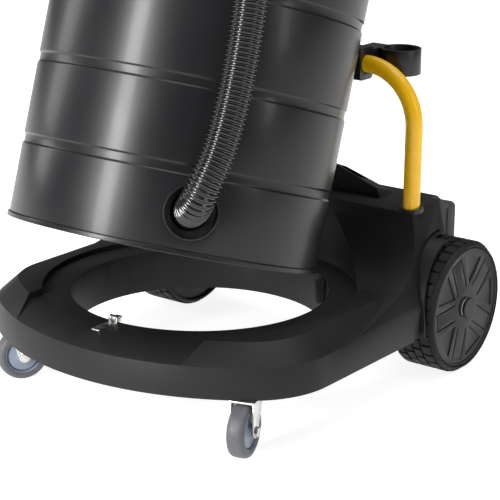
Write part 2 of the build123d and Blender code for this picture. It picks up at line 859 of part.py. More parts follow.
# (angle round the drum, height up it, radius) of the hose's route
hose_stand = drum_r + hose_r + 6.0
hose_in = drum_r - cup_depth - socket_depth
hose_lift = (drum_h - port_h - 175) / 348   # 1 for the drum as drawn
hose_places = (
    (port_angle, port_h, hose_in),
    (port_angle, port_h, hose_in + 30.9),
    (port_angle + 0.4, port_h + 13.7, hose_in + 54.6),
    (port_angle + 1.4, port_h + 37.4, hose_stand),
    (port_angle + 4.0, port_h + 82.0, hose_stand),
    (port_angle + 5.2, port_h + 82 + 78 * hose_lift, hose_stand),
    (port_angle + 4.9, port_h + 82 + 163 * hose_lift, hose_stand),
    (port_angle + 3.7, port_h + 82 + 243 * hose_lift, hose_stand),
    (port_angle + 3.4, port_h + 82 + 306 * hose_lift, hose_stand),
    (port_angle + 3.6, port_h + 82 + 348 * hose_lift, hose_stand),
)
hose_points = [drum_point(*place) for place in hose_places]
hose_runs = [b - a for a, b in zip(hose_points, hose_points[1:])]
hose_radii = [
    0.45 * min(a.length, b.length) / tan(radians(a.get_angle(b)) / 2)
    for a, b in zip(hose_runs, hose_runs[1:])
]
hose_route = FilletPolyline(*hose_points, radius=hose_radii)
with BuildPart() as drain_hose:
    with BuildSketch(Plane(origin=hose_route @ 0, z_dir=hose_route % 0)):
        Circle(hose_r)
        Circle(hose_bore_r, mode=Mode.SUBTRACT)
    sweep(path=hose_route)
hose_section = 3.14159 * (hose_r**2 - hose_bore_r**2)
write(drain_hose, "drain_hose")

# the hose's plug, pushed into its upper end
hose_end = Plane(origin=hose_route @ 1, z_dir=hose_route % 1)
plug_skirt = 18.0
with BuildPart() as hose_plug:
    with BuildSketch(hose_end.offset(-plug_skirt)):
        Circle(hose_bore_r - run_gap)
        Circle(hose_bore_r - 3, mode=Mode.SUBTRACT)
    extrude(amount=plug_skirt + body_gap)
    with BuildSketch(hose_end.offset(body_gap)):
        Circle(hose_r + 2)
    extrude(amount=9)
    fillet(hose_plug.edges().filter_by(GeomType.CIRCLE).sort_by_distance(hose_end.offset(9).origin)[:1], 2)
    with BuildSketch(hose_end.offset(9)):
        RectangleRounded(2 * hose_r - 8, 8, 3)
    extrude(amount=16)
write(hose_plug, "hose_plug")

# clip that holds the hose to the drum's side
clip_h = 22.0
clip_wall = 3.5
clip_height = port_h + 82 + 263 * hose_lift
clip_place = (port_angle + 3.6, clip_height)
clip_face = on_drum(*clip_place, drum_r)
clip_level = Plane(
    origin=drum_point(*clip_place, drum_r) + drum.z_dir * (-clip_h / 2),
    x_dir=clip_face.z_dir,
    z_dir=drum.z_dir,
)
clip_ring = hose_stand - drum_r
with BuildPart() as hose_clip:
    with BuildSketch(clip_level):
        with Locations((clip_ring, 0)):
            Circle(hose_r + 1 + clip_wall)
        with Locations((clip_ring / 4 + 0.5, 0)):
            Rectangle(clip_ring / 2, 34)
        with Locations((clip_ring, 0)):
            Circle(hose_r + 1, mode=Mode.SUBTRACT)
        with Locations((clip_ring + hose_r, 0)):
            Rectangle(1.1 * hose_r, 24, mode=Mode.SUBTRACT)
    extrude(amount=clip_h)
    with BuildSketch(drum.offset(clip_height - clip_h)):
        Circle(drum_r + 0.1)
    extrude(amount=2 * clip_h, mode=Mode.SUBTRACT)
write(hose_clip, "hose_clip")

# ---------------------------------------------------------------- dust inlet
inlet_face = on_drum(inlet_angle, inlet_h, drum_r)
inlet_screw_places = [(x, y) for x in (-27, 27) for y in (-27, 27)]
with BuildPart() as dust_inlet:
    with BuildSketch(inlet_face.offset(-12)):
        Circle(inlet_flange_r)
    extrude(amount=12 + 5)
    with BuildSketch(drum.offset(inlet_h - 2 * inlet_flange_r)):
        Circle(drum_r + 0.1)
    extrude(amount=4 * inlet_flange_r, mode=Mode.SUBTRACT)
    with BuildSketch(inlet_face.offset(-12)):
        Circle(inlet_r + inlet_wall)
    extrude(amount=12 + inlet_reach)
    with BuildSketch(inlet_face.offset(-20)):
        Circle(inlet_r)
    extrude(amount=40 + inlet_reach, mode=Mode.SUBTRACT)
    with BuildSketch(inlet_face.offset(-20)):
        with Locations(*inlet_screw_places):
            Circle(2.5)
    extrude(amount=40 + inlet_reach, mode=Mode.SUBTRACT)
write(dust_inlet, "dust_inlet")

# ---------------------------------------------------------------- hinge on the crossbar
clamp_x = 62.0
clamp_w = 26.0
clamp_half_h = 30.0
clamp_back = bar_r + 7.0
for name, turn in (("left", -1), ("right", 1)):
    cheek = Plane(
        origin=drum.from_local_coords((turn * clamp_x, 0, 0)),
        x_dir=drum.y_dir,
        z_dir=(1, 0, 0),
    )
    with BuildPart() as hinge_saddle:
        with BuildSketch(cheek):
            with Locations((bar_v - 20, bar_h)):
                Rectangle(40, 2 * clamp_half_h)
            with Locations((bar_v, bar_h)):
                Circle(bar_r + run_gap, mode=Mode.SUBTRACT)
        extrude(amount=clamp_w / 2, both=True)
        with BuildSketch(drum.offset(bar_h - 2 * clamp_half_h)):
            Circle(drum_r + 0.1)
        extrude(amount=4 * clamp_half_h, mode=Mode.SUBTRACT)
    write(hinge_saddle, f"hinge_saddle_{name}")

    with BuildPart() as hinge_cap:
        with BuildSketch(cheek):
            with Locations((bar_v + 5 / 2, bar_h)):
                Rectangle(5, 2 * clamp_half_h)
            with Locations((bar_v, bar_h)):
                Circle(bar_r + 6)
                Rectangle(60, 60, align=(Align.MAX, Align.CENTER), mode=Mode.SUBTRACT)
                Circle(bar_r + run_gap, mode=Mode.SUBTRACT)
        extrude(amount=clamp_w / 2, both=True)
    write(hinge_cap, f"hinge_cap_{name}")

screw_face = Plane(
    origin=drum.from_local_coords((0, bar_v + 5, bar_h)),
    x_dir=(1, 0, 0),
    z_dir=drum.y_dir,
)
with BuildPart() as drum_screws:
    with BuildSketch(inlet_face.offset(5)):
        with Locations(*inlet_screw_places):
            Circle(4.5)
    extrude(amount=2.5)
    with BuildSketch(inlet_face.offset(1)):
        with Locations(*inlet_screw_places):
            Circle(2.45)
    extrude(amount=4)
    with BuildSketch(screw_face):
        with GridLocations(2 * clamp_x, 2 * clamp_half_h - 10, 2, 2):
            Circle(4.5)
    extrude(amount=3.5)
write(drum_screws, "drum_screws")


# ---------------------------------------------------------------- motor head
gasket_z = drum_h + body_gap
base_z = gasket_z + gasket_t
base_t = 5.0
skirt_in = rim_r + 1.5
skirt_foot = drum_h - 14.0
intake_r = 42.0
clamp_slot = 34.0

with BuildPart() as head_gasket:
    with BuildSketch(drum.offset(gasket_z)):
        Circle(rim_r - 1)
        Circle(drum_r - 12, mode=Mode.SUBTRACT)
    extrude(amount=gasket_t)
write(head_gasket, "head_gasket")

with BuildPart() as head_base:
    with BuildSketch(drum_section):
        with BuildLine():
            Polyline(
                (intake_r, base_z),
                (skirt_in, base_z),
                (skirt_in, skirt_foot),
                (head_r, skirt_foot),
                (head_r, collar_top),
                (head_r - head_wall, collar_top),
                (head_r - head_wall, base_z + base_t),
                (intake_r, base_z + base_t),
                close=True,
            )
        make_face()
    revolve(axis=drum_axis)
    with BuildSketch(drum.offset(skirt_foot)):
        Rectangle(3 * head_r, clamp_slot)
        Circle(skirt_in - 1, mode=Mode.SUBTRACT)
    extrude(amount=base_z - skirt_foot - body_gap, mode=Mode.SUBTRACT)
    # ears for the clamps
    with BuildSketch(drum.offset(base_z + 10)):
        for turn in (1, -1):
            with Locations((turn * (head_r + 5), clamp_slot / 2 - 2.5), (turn * (head_r + 5), 2.5 - clamp_slot / 2)):
                Rectangle(14, 5)
    extrude(amount=20)
    with BuildSketch(Plane(origin=drum.origin, x_dir=(1, 0, 0), z_dir=-drum.y_dir)):
        with Locations((head_r + 6, base_z + 20), (-head_r - 6, base_z + 20)):
            Circle(2.5)
    extrude(amount=clamp_slot, both=True, mode=Mode.SUBTRACT)
    # where the cable gland goes through the collar
    with BuildSketch(on_drum(90, collar_top - 26, head_r - 2 * head_wall)):
        Circle(9)
    extrude(amount=3 * head_wall, mode=Mode.SUBTRACT)
write(head_base, "head_base")

with BuildPart() as clamp_pins:
    with BuildSketch(
        Plane(
            origin=drum.from_local_coords((0, clamp_slot / 2 + 1, 0)),
            x_dir=(1, 0, 0),
            z_dir=-drum.y_dir,
        )
    ):
        with Locations((head_r + 6, base_z + 20), (-head_r - 6, base_z + 20)):
            Circle(2.5)
    extrude(amount=clamp_slot + 2)
write(clamp_pins, "clamp_pins")

lever_w = clamp_slot - 10 - 2 * body_gap
lever_foot = drum_h - 34.0
for name, turn in (("left", -1), ("right", 1)):
    with BuildPart() as head_clamp:
        with BuildSketch(Plane(origin=drum.origin, x_dir=(1, 0, 0), z_dir=-drum.y_dir)):
            with BuildLine():
                Polyline(
                    (turn * (rim_r + 1), drum_h - 8),
                    (turn * (rim_r + 1), drum_h - 1),
                    (turn * (head_r + 2), drum_h + 4),
                    (turn * (head_r + 1), base_z + 20),
                    (turn * (head_r + 11), base_z + 20),
                    (turn * (head_r + 11), base_z + 8),
                    (turn * (head_r + 9), drum_h - 8),
                    (turn * (head_r + 14), lever_foot),
                    (turn * (head_r + 10), lever_foot),
                    (turn * (head_r + 4), drum_h - 8),
                    close=True,
                )
            make_face()
            with Locations((turn * (head_r + 6), base_z + 20)):
                Circle(5)
                Circle(2.5 + run_gap, mode=Mode.SUBTRACT)
        extrude(amount=lever_w / 2, both=True)
    write(head_clamp, f"head_clamp_{name}")

cover_mid = (head_r + cover_top_r) / 2 + 14
with BuildPart() as head_cover:
    with BuildSketch(drum_section):
        with BuildLine():
            Line((head_r, collar_top), (head_r, collar_top + 18))
            ThreePointArc(
                (head_r, collar_top + 18),
                (cover_mid, (collar_top + 18 + cover_top) / 2 + 14),
                (cover_top_r, cover_top),
            )
            Polyline(
                (cover_top_r, cover_top),
                (0, cover_top),
                (0, cover_top - head_wall),
                (cover_top_r - 2, cover_top - head_wall),
            )
            ThreePointArc(
                (cover_top_r - 2, cover_top - head_wall),
                (cover_mid - head_wall, (collar_top + 18 + cover_top) / 2 + 11),
                (head_r - head_wall, collar_top + 18),
            )
            Polyline(
                (head_r - head_wall, collar_top + 18),
                (head_r - head_wall, collar_top),
                (head_r, collar_top),
            )
        make_face()
    revolve(axis=drum_axis)
    # switch opening and exhaust slots
    with BuildSketch(drum.offset(cover_top - 2 * head_wall)):
        with Locations((0, -cover_top_r + 34)):
            Rectangle(30, 22)
        with Locations((0, cover_top_r - 42)):
            with GridLocations(0, 11, 1, 5):
                SlotOverall(110, 5)
    extrude(amount=3 * head_wall, mode=Mode.SUBTRACT)
write(head_cover, "head_cover")

rocker_y = 34 - cover_top_r
with BuildPart() as switch_frame:
    with BuildSketch(drum.offset(cover_top)):
        with Locations((0, rocker_y)):
            RectangleRounded(38, 30, 3)
            Rectangle(24, 16, mode=Mode.SUBTRACT)
    extrude(amount=2)
    with BuildSketch(drum.offset(cover_top - 14)):
        with Locations((0, rocker_y)):
            Rectangle(30, 22)
            Rectangle(24, 16, mode=Mode.SUBTRACT)
    extrude(amount=14)
write(switch_frame, "switch_frame")

rocker_plane = Plane(
    origin=drum.from_local_coords((0, rocker_y, cover_top - 4)),
    x_dir=drum.y_dir,
    z_dir=(-1, 0, 0),
)
with BuildPart() as rocker:
    with BuildSketch(rocker_plane):
        with BuildLine():
            Polyline((-7, 0), (-7, -8.5), (0, -5), (7, -6.5), (7, 0), close=True)
        make_face()
    extrude(amount=23 / 2, both=True)
write(rocker, "rocker")

grip_half = 62.0
grip_lift = 40.0
grip_route = FilletPolyline(
    *(
        drum.from_local_coords((x, 8, height))
        for x, height in (
            (-grip_half, cover_top),
            (-grip_half, cover_top + grip_lift),
            (grip_half, cover_top + grip_lift),
            (grip_half, cover_top),
        )
    ),
    radius=20,
)
with BuildPart() as carry_handle:
    with BuildSketch(Plane(origin=grip_route @ 0, z_dir=grip_route % 0)):
        Circle(11)
    sweep(path=grip_route)
    with BuildSketch(drum.offset(cover_top)):
        with Locations((grip_half, 8), (-grip_half, 8)):
            RectangleRounded(34, 40, 8)
    extrude(amount=6)
write(carry_handle, "carry_handle")

with BuildPart() as cable_gland:
    with BuildSketch(on_drum(90, collar_top - 26, head_r - head_wall - 6)):
        Circle(9 - run_gap)
        Circle(4, mode=Mode.SUBTRACT)
    extrude(amount=head_wall + 6)
    with BuildSketch(on_drum(90, collar_top - 26, head_r)):
        RegularPolygon(12, 6)
        Circle(4, mode=Mode.SUBTRACT)
    extrude(amount=8)
    with BuildSketch(on_drum(90, collar_top - 26, head_r + 8)):
        Circle(9)
    extrude(amount=12, taper=12)
    with BuildSketch(on_drum(90, collar_top - 26, head_r + 8)):
        Circle(4)
    extrude(amount=12, mode=Mode.SUBTRACT)
write(cable_gland, "cable_gland")

# ---------------------------------------------------------------- inside the head
fan_r = 60.0
fan_z = base_z + base_t + 6
fan_t = 3.0
blade_h = 10.0
motor_z = fan_z + fan_t + blade_h + 8
motor_top = cover_top - 22
with BuildPart() as fan_housing:
    with BuildSketch(drum.offset(base_z + base_t)):
        Circle(motor_r + 8)
        Circle(motor_r + 5, mode=Mode.SUBTRACT)
    extrude(amount=motor_z - base_z - base_t)
    with BuildSketch(drum.offset(motor_z)):
        Circle(motor_r + 8)
        Circle(20, mode=Mode.SUBTRACT)
    extrude(amount=4)
write(fan_housing, "fan_housing")

with BuildPart() as motor:
    with BuildSketch(drum.offset(motor_z + 4)):
        Circle(motor_r)
    extrude(amount=motor_top - motor_z - 24)
    with BuildSketch(drum.offset(motor_top - 20)):
        Circle(28)
    extrude(amount=20)
    with BuildSketch(drum.offset(motor_z - 2)):
        Circle(18)
    extrude(amount=6)
    with BuildSketch(drum.offset(motor_z - 4)):
        Circle(shaft_r + run_gap)
    extrude(amount=44, mode=Mode.SUBTRACT)
write(motor, "motor")

with BuildPart() as fan:
    with BuildSketch(drum.offset(fan_z)):
        Circle(fan_r)
    extrude(amount=fan_t)
    with BuildSketch(drum.offset(fan_z + fan_t)):
        with PolarLocations(38, 9):
            Rectangle(36, 2.5, rotation=28)
    extrude(amount=blade_h)
    with BuildSketch(drum.offset(fan_z + fan_t)):
        Circle(13)
    extrude(amount=blade_h)
    with BuildSketch(drum.offset(fan_z + fan_t + blade_h)):
        Circle(shaft_r)
    extrude(amount=motor_z + 36 - fan_z - fan_t - blade_h)
write(fan, "fan")

filter_r = 112.0
filter_h = 190.0
with BuildPart() as filter_cartridge:
    with BuildSketch(drum.offset(base_z - filter_h)):
        Circle(filter_r)
        Circle(filter_r - 14, mode=Mode.SUBTRACT)
    extrude(amount=filter_h)
    with BuildSketch(drum.offset(base_z - filter_h - 4)):
        Circle(filter_r + 3)
    extrude(amount=4)
write(filter_cartridge, "filter_cartridge")

cage_r = intake_r + 4
cage_h = 90.0
float_r = 27.0
with BuildPart() as float_cage:
    with BuildSketch(drum.offset(base_z - cage_h)):
        Circle(cage_r)
        Circle(12, mode=Mode.SUBTRACT)
    extrude(amount=3)
    with BuildSketch(drum.offset(base_z - cage_h)):
        with PolarLocations(cage_r - 3, 6):
            Rectangle(6, 8)
    extrude(amount=cage_h)
    with BuildSketch(drum.offset(base_z - 4)):
        Circle(cage_r)
        Circle(float_r - 4, mode=Mode.SUBTRACT)
    extrude(amount=4)
write(float_cage, "float_cage")

with BuildPart() as float_ball:
    with BuildSketch(drum_section):
        with Locations((0, base_z - cage_h + 3 + body_gap + float_r)):
            Circle(float_r)
            Rectangle(2 * float_r, 3 * float_r, align=(Align.MAX, Align.CENTER), mode=Mode.SUBTRACT)
    revolve(axis=drum_axis)
write(float_ball, "float_ball")
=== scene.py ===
"""Detailed looks for a tipping drum dust collector on a ring-shaped dolly.

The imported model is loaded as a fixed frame. Each operator below makes one group of
pieces in that frame, in metres, or gives the frame's own nodes their finishes.
"""

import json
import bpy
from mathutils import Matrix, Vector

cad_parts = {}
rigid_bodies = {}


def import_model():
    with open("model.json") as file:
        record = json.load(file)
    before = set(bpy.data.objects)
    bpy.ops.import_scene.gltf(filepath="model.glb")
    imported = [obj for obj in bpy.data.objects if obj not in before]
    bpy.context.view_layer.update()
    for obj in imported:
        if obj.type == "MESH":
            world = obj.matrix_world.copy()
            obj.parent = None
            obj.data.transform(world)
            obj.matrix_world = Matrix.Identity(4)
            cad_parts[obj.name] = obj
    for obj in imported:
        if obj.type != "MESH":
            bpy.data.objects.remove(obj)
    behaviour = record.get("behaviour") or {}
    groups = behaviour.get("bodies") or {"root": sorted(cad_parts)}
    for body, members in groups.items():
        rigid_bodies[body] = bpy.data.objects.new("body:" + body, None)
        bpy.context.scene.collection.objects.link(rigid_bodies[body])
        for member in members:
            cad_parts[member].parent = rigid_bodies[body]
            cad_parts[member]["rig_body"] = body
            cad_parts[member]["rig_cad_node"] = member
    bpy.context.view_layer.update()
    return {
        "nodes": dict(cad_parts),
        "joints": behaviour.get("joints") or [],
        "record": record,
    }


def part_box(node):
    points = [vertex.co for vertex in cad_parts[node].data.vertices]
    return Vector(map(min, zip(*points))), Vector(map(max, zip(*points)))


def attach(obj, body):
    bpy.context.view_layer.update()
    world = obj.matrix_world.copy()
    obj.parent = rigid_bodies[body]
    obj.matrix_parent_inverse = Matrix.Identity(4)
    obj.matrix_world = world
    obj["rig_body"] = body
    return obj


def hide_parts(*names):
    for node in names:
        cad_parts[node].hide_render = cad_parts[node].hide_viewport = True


bl_info = {
    "name": "Drum dust collector",
    "version": (1, 0, 0),
    "blender": (4, 5, 0),
    "location": "3D View > Sidebar > Collector",
    "description": "Builds the detailed pieces and finishes of a tipping drum dust collector",
    "category": "Object",
}

from math import cos, pi, radians, sin

import bpy
from bpy.props import FloatProperty, FloatVectorProperty, IntProperty, PointerProperty
from mathutils import Matrix, Vector

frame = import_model()
joints = {joint["name"]: joint for joint in frame["joints"]}

# the drum's own directions: its axis, its back, and the middle of its foot
drum_up = Vector(joints["head_lift"]["axis"])
drum_back = drum_up.cross(Vector((1, 0, 0))).normalized()
fan_height = 0.6033     # the fan stands this far above the drum's foot
drum_foot = Vector(joints["fan_spin"]["pos_m"]) - fan_height * drum_up


def turned_to(origin, right, back, up):
    """A placement whose own X, Y and Z point along the three directions."""
    return Matrix.Translation(origin) @ Matrix((right, back, up)).transposed().to_4x4()


drum_place = turned_to(drum_foot, Vector((1, 0, 0)), drum_back, drum_up)


class CollectorSizes(bpy.types.PropertyGroup):
    """Sizes that a user may change."""

    ridge_pitch: FloatProperty(
        name="Ridge pitch", description="Distance between the hose's ridges",
        default=0.0062, min=0.003, unit="LENGTH",
    )
    ridge_height: FloatProperty(
        name="Ridge height", description="How far the ridges stand out of the hose",
        default=0.0030, min=0.0005, unit="LENGTH",
    )
    swage_round: FloatProperty(
        name="Swage rounding", description="Rounding along the drum's swages",
        default=0.0009, min=0.0001, unit="LENGTH",
    )
    tread_blocks: IntProperty(
        name="Tread blocks", description="Blocks in one row of a rear tyre's tread",
        default=32, min=8,
    )
    tread_depth: FloatProperty(
        name="Tread depth", description="Height of the tread blocks",
        default=0.0026, min=0.001, unit="LENGTH",
    )
    spoke_turn: FloatProperty(
        name="Spoke turn", description="Where the first spoke of a rear wheel points",
        default=radians(112), subtype="ANGLE",
    )


class CollectorColours(bpy.types.PropertyGroup):
    """Base colours of the finishes."""

    drum: FloatVectorProperty(
        name="Drum", description="Satin paint of the drum", subtype="COLOR",
        size=4, min=0, max=1, default=(0.0075, 0.0075, 0.0085, 1),
    )
    dolly: FloatVectorProperty(
        name="Dolly", description="Moulded plastic of the dolly", subtype="COLOR",
        size=4, min=0, max=1, default=(0.0135, 0.0128, 0.0135, 1),
    )
    bar: FloatVectorProperty(
        name="Push bar", description="Gloss paint of the push bar", subtype="COLOR",
        size=4, min=0, max=1, default=(0.95, 0.53, 0.004, 1),
    )
    caster: FloatVectorProperty(
        name="Caster tyre", description="Grey rubber of the casters", subtype="COLOR",
        size=4, min=0, max=1, default=(0.082, 0.085, 0.094, 1),
    )
    zinc: FloatVectorProperty(
        name="Zinc", description="Plated steel fittings", subtype="COLOR",
        size=4, min=0, max=1, default=(0.62, 0.61, 0.58, 1),
    )


# ---------------------------------------------------------------- finishes
def new_material(name):
    """A material with its nodes, links, main shader and object coordinates."""
    material = bpy.data.materials.new(name)
    material.use_nodes = True
    nodes, links = material.node_tree.nodes, material.node_tree.links
    shader = nodes["Principled BSDF"]
    place = nodes.new("ShaderNodeTexCoord")
    return material, nodes, links, shader, place.outputs["Object"]


def speckle(nodes, links, place, size, detail=3.0, roughness=0.55, stretch=(1, 1, 1)):
    """Noise whose lumps are about size metres across."""
    mapping = nodes.new("ShaderNodeMapping")
    mapping.inputs["Scale"].default_value = stretch
    links.new(place, mapping.inputs["Vector"])
    noise = nodes.new("ShaderNodeTexNoise")
    noise.inputs["Scale"].default_value = 1 / size
    noise.inputs["Detail"].default_value = detail
    noise.inputs["Roughness"].default_value = roughness
    links.new(mapping.outputs["Vector"], noise.inputs["Vector"])
    return noise.outputs["Fac"]


def spread(nodes, links, value, low, high, out_low, out_high):
    """Maps a share of a pattern to a range of values."""
    ranged = nodes.new("ShaderNodeMapRange")
    ranged.inputs["From Min"].default_value = low
    ranged.inputs["From Max"].default_value = high
    ranged.inputs["To Min"].default_value = out_low
    ranged.inputs["To Max"].default_value = out_high
    links.new(value, ranged.inputs["Value"])
    return ranged.outputs["Result"]


def tint(nodes, links, factor, first, second):
    """Mixes two colours by a factor. The first may also be another node's output."""
    mix = nodes.new("ShaderNodeMix")
    mix.data_type = "RGBA"
    links.new(factor, mix.inputs[0])
    if isinstance(first, bpy.types.NodeSocket):
        links.new(first, mix.inputs[6])
    else:
        mix.inputs[6].default_value = first
    mix.inputs[7].default_value = second
    return mix.outputs[2]


def shade(colour, factor):
    """The colour, lighter or darker by a factor."""
    return tuple(min(1.0, c * factor) for c in colour[:3]) + (1,)


def surface(
    name, colour, roughness, grain=0.0008, relief=0.00004, cloud=0.09, metallic=0.0,
    coat=0.0, variation=0.22, gloss_variation=0.08, stretch=(1, 1, 1), worn=None,
    specular=0.5,
):
    """A finish with a fine grain, a slow drift of shade and gloss, and handling wear."""
    material, nodes, links, shader, place = new_material(name)
    slow = speckle(nodes, links, place, cloud, 4.0)
    fine = speckle(nodes, links, place, grain, 2.0, 0.6, stretch)
    drift = spread(nodes, links, slow, 0.32, 0.68, 0.0, 1.0)
    base = tint(nodes, links, drift, shade(colour, 1 - variation), shade(colour, 1 + variation))
    if worn:
        marks = speckle(nodes, links, place, 0.012, 6.0, 0.72, (1, 1, 0.35))
        dust = spread(nodes, links, marks, 0.60, 0.78, 0.0, 0.55)
        base = tint(nodes, links, dust, base, worn)
    links.new(base, shader.inputs["Base Color"])
    both = nodes.new("ShaderNodeMath")
    both.operation = "ADD"
    dull = spread(nodes, links, slow, 0.3, 0.7, -gloss_variation, gloss_variation)
    links.new(dull, both.inputs[0])
    rough = spread(nodes, links, fine, 0.3, 0.7, roughness - 0.04, roughness + 0.04)
    links.new(rough, both.inputs[1])
    links.new(both.outputs["Value"], shader.inputs["Roughness"])
    bump = nodes.new("ShaderNodeBump")
    bump.inputs["Strength"].default_value = 0.6
    bump.inputs["Distance"].default_value = relief
    links.new(fine, bump.inputs["Height"])
    links.new(bump.outputs["Normal"], shader.inputs["Normal"])
    shader.inputs["Metallic"].default_value = metallic
    shader.inputs["Coat Weight"].default_value = coat
    shader.inputs["Coat Roughness"].default_value = 0.12
    shader.inputs["Specular IOR Level"].default_value = specular
    return material


def pleated(name, colour, pleats):
    """Cloth folded into upright pleats round the drum's axis, with painted shade darkening the
    pleats' valleys.
    """
    material, nodes, links, shader, place = new_material(name)
    mapping = nodes.new("ShaderNodeMapping")
    mapping.vector_type = "TEXTURE"
    mapping.inputs["Location"].default_value = drum_foot
    mapping.inputs["Rotation"].default_value = drum_place.to_euler()
    links.new(place, mapping.inputs["Vector"])
    turn = nodes.new("ShaderNodeTexGradient")
    turn.gradient_type = "RADIAL"
    links.new(mapping.outputs["Vector"], turn.inputs["Vector"])
    wave = nodes.new("ShaderNodeMath")
    wave.operation = "MULTIPLY"
    wave.inputs[1].default_value = 2 * pi * pleats
    links.new(turn.outputs["Fac"], wave.inputs[0])
    fold = nodes.new("ShaderNodeMath")
    fold.operation = "SINE"
    links.new(wave.outputs["Value"], fold.inputs[0])
    depth = spread(nodes, links, fold.outputs["Value"], -1.0, 1.0, 0.0, 1.0)
    # painted shade: the cloth's colour darkens to 0.45 of itself in the valleys of the pleats,
    # following the same fold wave that drives the bump
    links.new(tint(nodes, links, depth, shade(colour, 0.45), colour), shader.inputs["Base Color"])
    weave = speckle(nodes, links, place, 0.0007, 2.0)
    links.new(spread(nodes, links, weave, 0.3, 0.7, 0.8, 0.95), shader.inputs["Roughness"])
    bump = nodes.new("ShaderNodeBump")
    bump.inputs["Distance"].default_value = 0.004
    links.new(depth, bump.inputs["Height"])
    links.new(bump.outputs["Normal"], shader.inputs["Normal"])
    return material


finishes = {}


def make_finishes():
    """The finish of each of the record's material slots."""
    colours = bpy.context.scene.collector_colours
    black = (0.009, 0.009, 0.0098, 1)
    finishes.update(
        drum_paint=surface(
            "drum_paint", tuple(colours.drum), roughness=0.33, grain=0.0007, relief=0.00003,
            cloud=0.12, coat=0.08, variation=0.12, gloss_variation=0.03, specular=0.32,
        ),
        dolly_plastic=surface(
            "dolly_plastic", tuple(colours.dolly), roughness=0.47, grain=0.0009, relief=0.00006,
            cloud=0.10, variation=0.14, gloss_variation=0.05, specular=0.2,
        ),
        step_pad=surface(
            "step_pad", (0.035, 0.036, 0.038, 1), roughness=0.66, grain=0.0011, relief=0.0001,
            cloud=0.03, worn=(0.10, 0.10, 0.10, 1),
        ),
        bar_paint=surface(
            "bar_paint", tuple(colours.bar), roughness=0.27, grain=0.0013, relief=0.00003,
            cloud=0.05, coat=0.12, variation=0.05, gloss_variation=0.03, specular=0.4,
        ),
        black_fittings=surface("black_fittings", black, roughness=0.38, grain=0.0007, cloud=0.03),
        zinc=surface(
            "zinc", tuple(colours.zinc), roughness=0.30, grain=0.0009, relief=0.00002,
            cloud=0.012, metallic=1.0, variation=0.16, gloss_variation=0.1, stretch=(1, 1, 0.2),
            worn=(0.42, 0.42, 0.40, 1),
        ),
        wheel_plastic=surface(
            "wheel_plastic", (0.0085, 0.0082, 0.0085, 1), roughness=0.42, grain=0.0009,
            relief=0.00006, cloud=0.06, specular=0.22,
        ),
        wheel_tyre=surface(
            "wheel_tyre", (0.0095, 0.0090, 0.0095, 1), roughness=0.60, grain=0.0012,
            relief=0.0001, cloud=0.03, variation=0.2, worn=(0.022, 0.021, 0.020, 1),
            specular=0.2,
        ),
        bush_nylon=surface(
            "bush_nylon", (0.62, 0.61, 0.57, 1), roughness=0.42, relief=0.00003, cloud=0.02,
        ),
        caster_rubber=surface(
            "caster_rubber", tuple(colours.caster), roughness=0.52, grain=0.0009, relief=0.00006,
            cloud=0.018, variation=0.12, worn=(0.14, 0.14, 0.145, 1),
        ),
        caster_disc=surface(
            "caster_disc", (0.20, 0.235, 0.30, 1), roughness=0.34, relief=0.00003, cloud=0.014,
            variation=0.1,
        ),
        hose_rubber=surface(
            "hose_rubber", (0.006, 0.006, 0.0065, 1), roughness=0.20, grain=0.0009,
            relief=0.00003, cloud=0.02, coat=0.35, variation=0.1, gloss_variation=0.05,
        ),
        gasket_foam=surface(
            "gasket_foam", (0.03, 0.03, 0.03, 1), roughness=0.85, grain=0.0016, relief=0.0003,
            cloud=0.01,
        ),
        head_plastic=surface(
            "head_plastic", (0.0125, 0.0120, 0.0130, 1), roughness=0.44, grain=0.0009,
            relief=0.00006, cloud=0.08, variation=0.14,
        ),
        handle_plastic=surface(
            "handle_plastic", black, roughness=0.42, grain=0.0010, relief=0.00008, cloud=0.03,
        ),
        switch_red=surface(
            "switch_red", (0.55, 0.012, 0.010, 1), roughness=0.20, grain=0.0006, relief=0.00001,
            cloud=0.006, coat=0.4, variation=0.06,
        ),
        motor_metal=surface(
            "motor_metal", (0.52, 0.53, 0.54, 1), roughness=0.42, grain=0.0012, relief=0.00008,
            cloud=0.02, metallic=1.0,
        ),
        fan_metal=surface(
            "fan_metal", (0.64, 0.65, 0.66, 1), roughness=0.28, relief=0.00002, cloud=0.02,
            metallic=1.0, stretch=(1, 0.1, 1),
        ),
        filter_cloth=pleated("filter_cloth", (0.66, 0.64, 0.58, 1), pleats=90),
        cage_plastic=surface(
            "cage_plastic", (0.05, 0.05, 0.055, 1), roughness=0.45, relief=0.00005, cloud=0.02,
        ),
        float_plastic=surface(
            "float_plastic", (0.62, 0.14, 0.03, 1), roughness=0.3, relief=0.00002, cloud=0.02,
            coat=0.2,
        ),
    )


def paint(piece, slot):
    """Gives a piece the finish of a material slot."""
    piece.data.materials.clear()
    piece.data.materials.append(finishes[slot])
    return piece


# ---------------------------------------------------------------- modelling helpers
def clear_selection():
    """Leaves edit mode and selects nothing."""
    if bpy.context.object and bpy.context.object.mode != "OBJECT":
        bpy.ops.object.mode_set(mode="OBJECT")
    bpy.ops.object.select_all(action="DESELECT")


def only(piece):
    """Makes a piece the only one selected."""
    clear_selection()
    piece.select_set(True)
    bpy.context.view_layer.objects.active = piece
    return piece


def added(name):
    """Names the piece that an operator has just made."""
    piece = bpy.context.active_object
    piece.name = name
    piece.data.name = name
    return piece


def apply_modifiers(piece):
    """Applies a piece's modifiers in their order."""
    only(piece)
    for modifier in list(piece.modifiers):
        bpy.ops.object.modifier_apply(modifier=modifier.name)
    return piece


def soften(piece, width, segments=2, angle=30.0):
    """Rounds the edges sharper than an angle, and shades the rest smooth."""
    bevel = piece.modifiers.new("Rounding", "BEVEL")
    bevel.width = width
    bevel.segments = segments
    bevel.limit_method = "ANGLE"
    bevel.angle_limit = radians(angle)
    bevel.harden_normals = False
    apply_modifiers(piece)
    bpy.ops.object.shade_smooth_by_angle(angle=radians(angle))
    return piece


